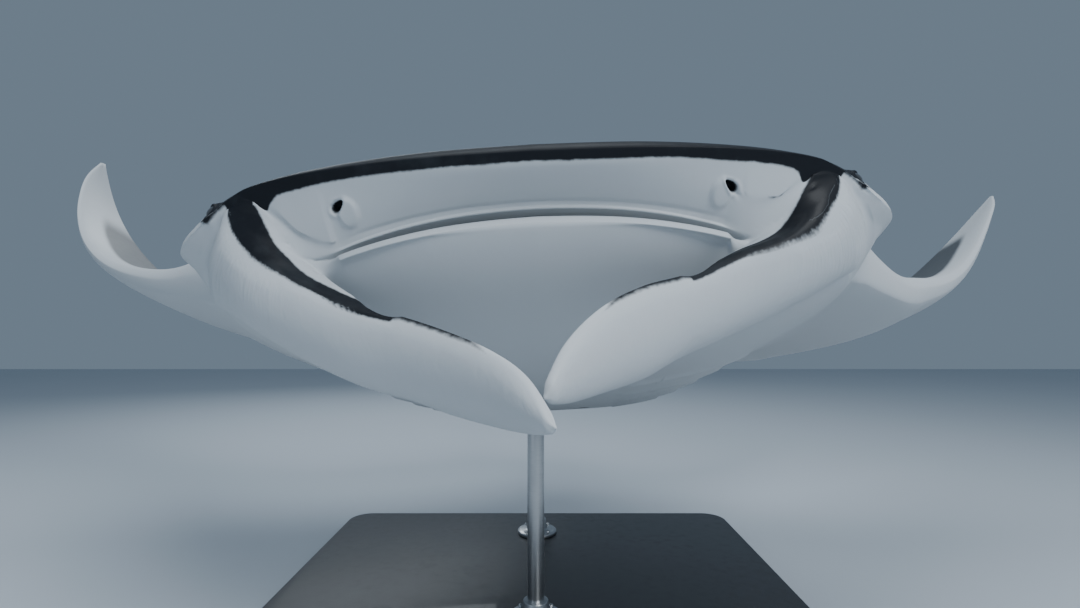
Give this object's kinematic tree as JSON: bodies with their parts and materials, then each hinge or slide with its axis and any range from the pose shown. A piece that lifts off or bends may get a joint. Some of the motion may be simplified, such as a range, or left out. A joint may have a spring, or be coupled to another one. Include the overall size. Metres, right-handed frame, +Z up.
{
  "type": "manta ray model",
  "caption": "Life-size swimming reef manta ray with curled wing tips, rolled-in head lobes and a whip tail, banked and pitched nose up on a flat base with upright rods.",
  "frame": {"origin": "centre of the base plate's underside", "axes": "+Z up, the head faces -Y, +X towards the animal's left wing tip, which is along the wingspan"},
  "size_m": [2.7851, 2.7611, 1.1148],
  "materials": {
    "skin_dark": "smooth damp skin with a very fine grain",
    "skin_pale": "smooth damp skin with a very fine grain",
    "eye": "wet gloss",
    "stand_board": "board under satin dark grey paint",
    "stand_steel": "satin"
  },
  "bodies": {
    "root": {"head": "skin_dark", "lower_jaw": "skin_pale", "trunk": "skin_dark", "wing_right": "skin_dark", "wing_left": "skin_dark", "cephalic_lobe_right": "skin_pale", "cephalic_lobe_left": "skin_pale", "eye_right": "eye", "eye_left": "eye", "tail": "skin_dark", "dorsal_fin": "skin_dark", "pelvic_fin_right": "skin_dark", "pelvic_fin_left": "skin_dark", "stand_base": "stand_board", "stand_rod_front": "stand_steel", "stand_rod_rear": "stand_steel", "stand_collar_front": "stand_steel", "stand_collar_rear": "stand_steel"}
  },
  "joints": []
}
